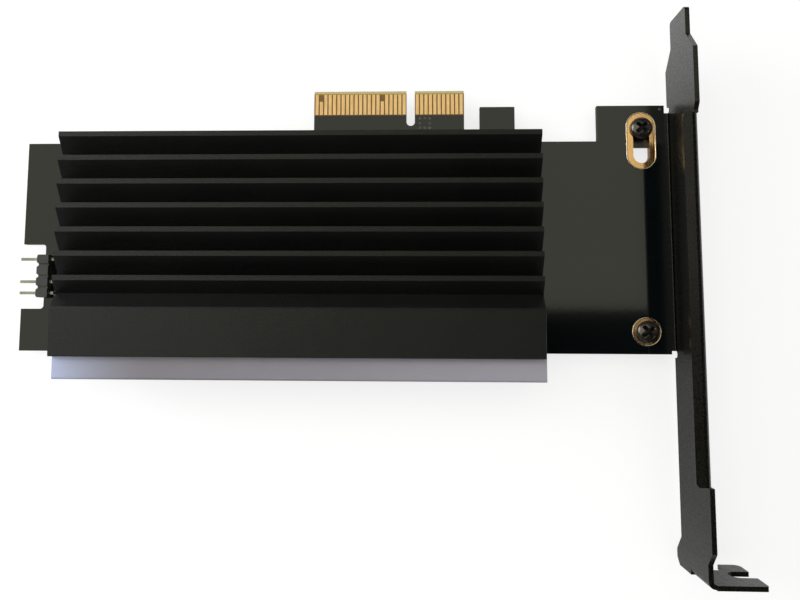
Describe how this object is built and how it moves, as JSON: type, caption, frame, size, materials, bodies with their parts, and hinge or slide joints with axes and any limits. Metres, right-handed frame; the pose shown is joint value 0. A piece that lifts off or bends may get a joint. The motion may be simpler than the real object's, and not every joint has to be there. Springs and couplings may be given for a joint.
{
  "type": "nvme adapter card",
  "caption": "Expansion card that carries one solid state drive under a finned heatsink with a light bar, on a folded slot bracket.",
  "frame": {"origin": "bottom centre of the whole card's box, with the board lying flat and its component side up", "axes": "+X towards the bracket and its screw tab, +Y towards the gold fingers, +Z away from the component side"},
  "size_m": [0.1584, 0.12, 0.0216],
  "materials": {
    "solder_mask": "glossy black solder mask",
    "gold": "gold plated",
    "bracket_paint": "satin black coated steel",
    "black_steel": "black coated steel",
    "black_aluminium": "satin black anodised",
    "grey_pad": "matte soft pad",
    "milky_acrylic": "milky, light-spreading",
    "light_body": "matte white",
    "black_plastic": "moulded black plastic",
    "tin": "tin plated",
    "solder": "bright solder",
    "brass_nut": "turned",
    "steel": "zinc plated",
    "ceramic": "ceramic",
    "chip_black": "moulded chip package"
  },
  "bodies": {
    "root": {"circuit_board": "solder_mask", "front_contacts": "gold", "back_contacts": "gold", "mounting_hole_plating": "gold", "bracket": "bracket_paint", "bracket_screws": "black_steel", "heatsink": "black_aluminium", "heatsink_screws": "black_steel", "thermal_pad": "grey_pad", "light_bar": "milky_acrylic", "light_bar_leds": "light_body", "light_controller": "chip_black", "m2_socket_housing": "black_plastic", "m2_socket_contacts": "gold", "m2_socket_anchors": "tin", "ssd_standoff": "brass_nut", "ssd_screw": "steel", "header_housing": "black_plastic", "header_pins": "tin", "header_solder": "solder", "power_regulator": "chip_black", "power_inductor": "chip_black", "bulk_capacitors": "ceramic", "decoupling_capacitors": "ceramic", "chip_resistors": "chip_black"}
  },
  "joints": []
}
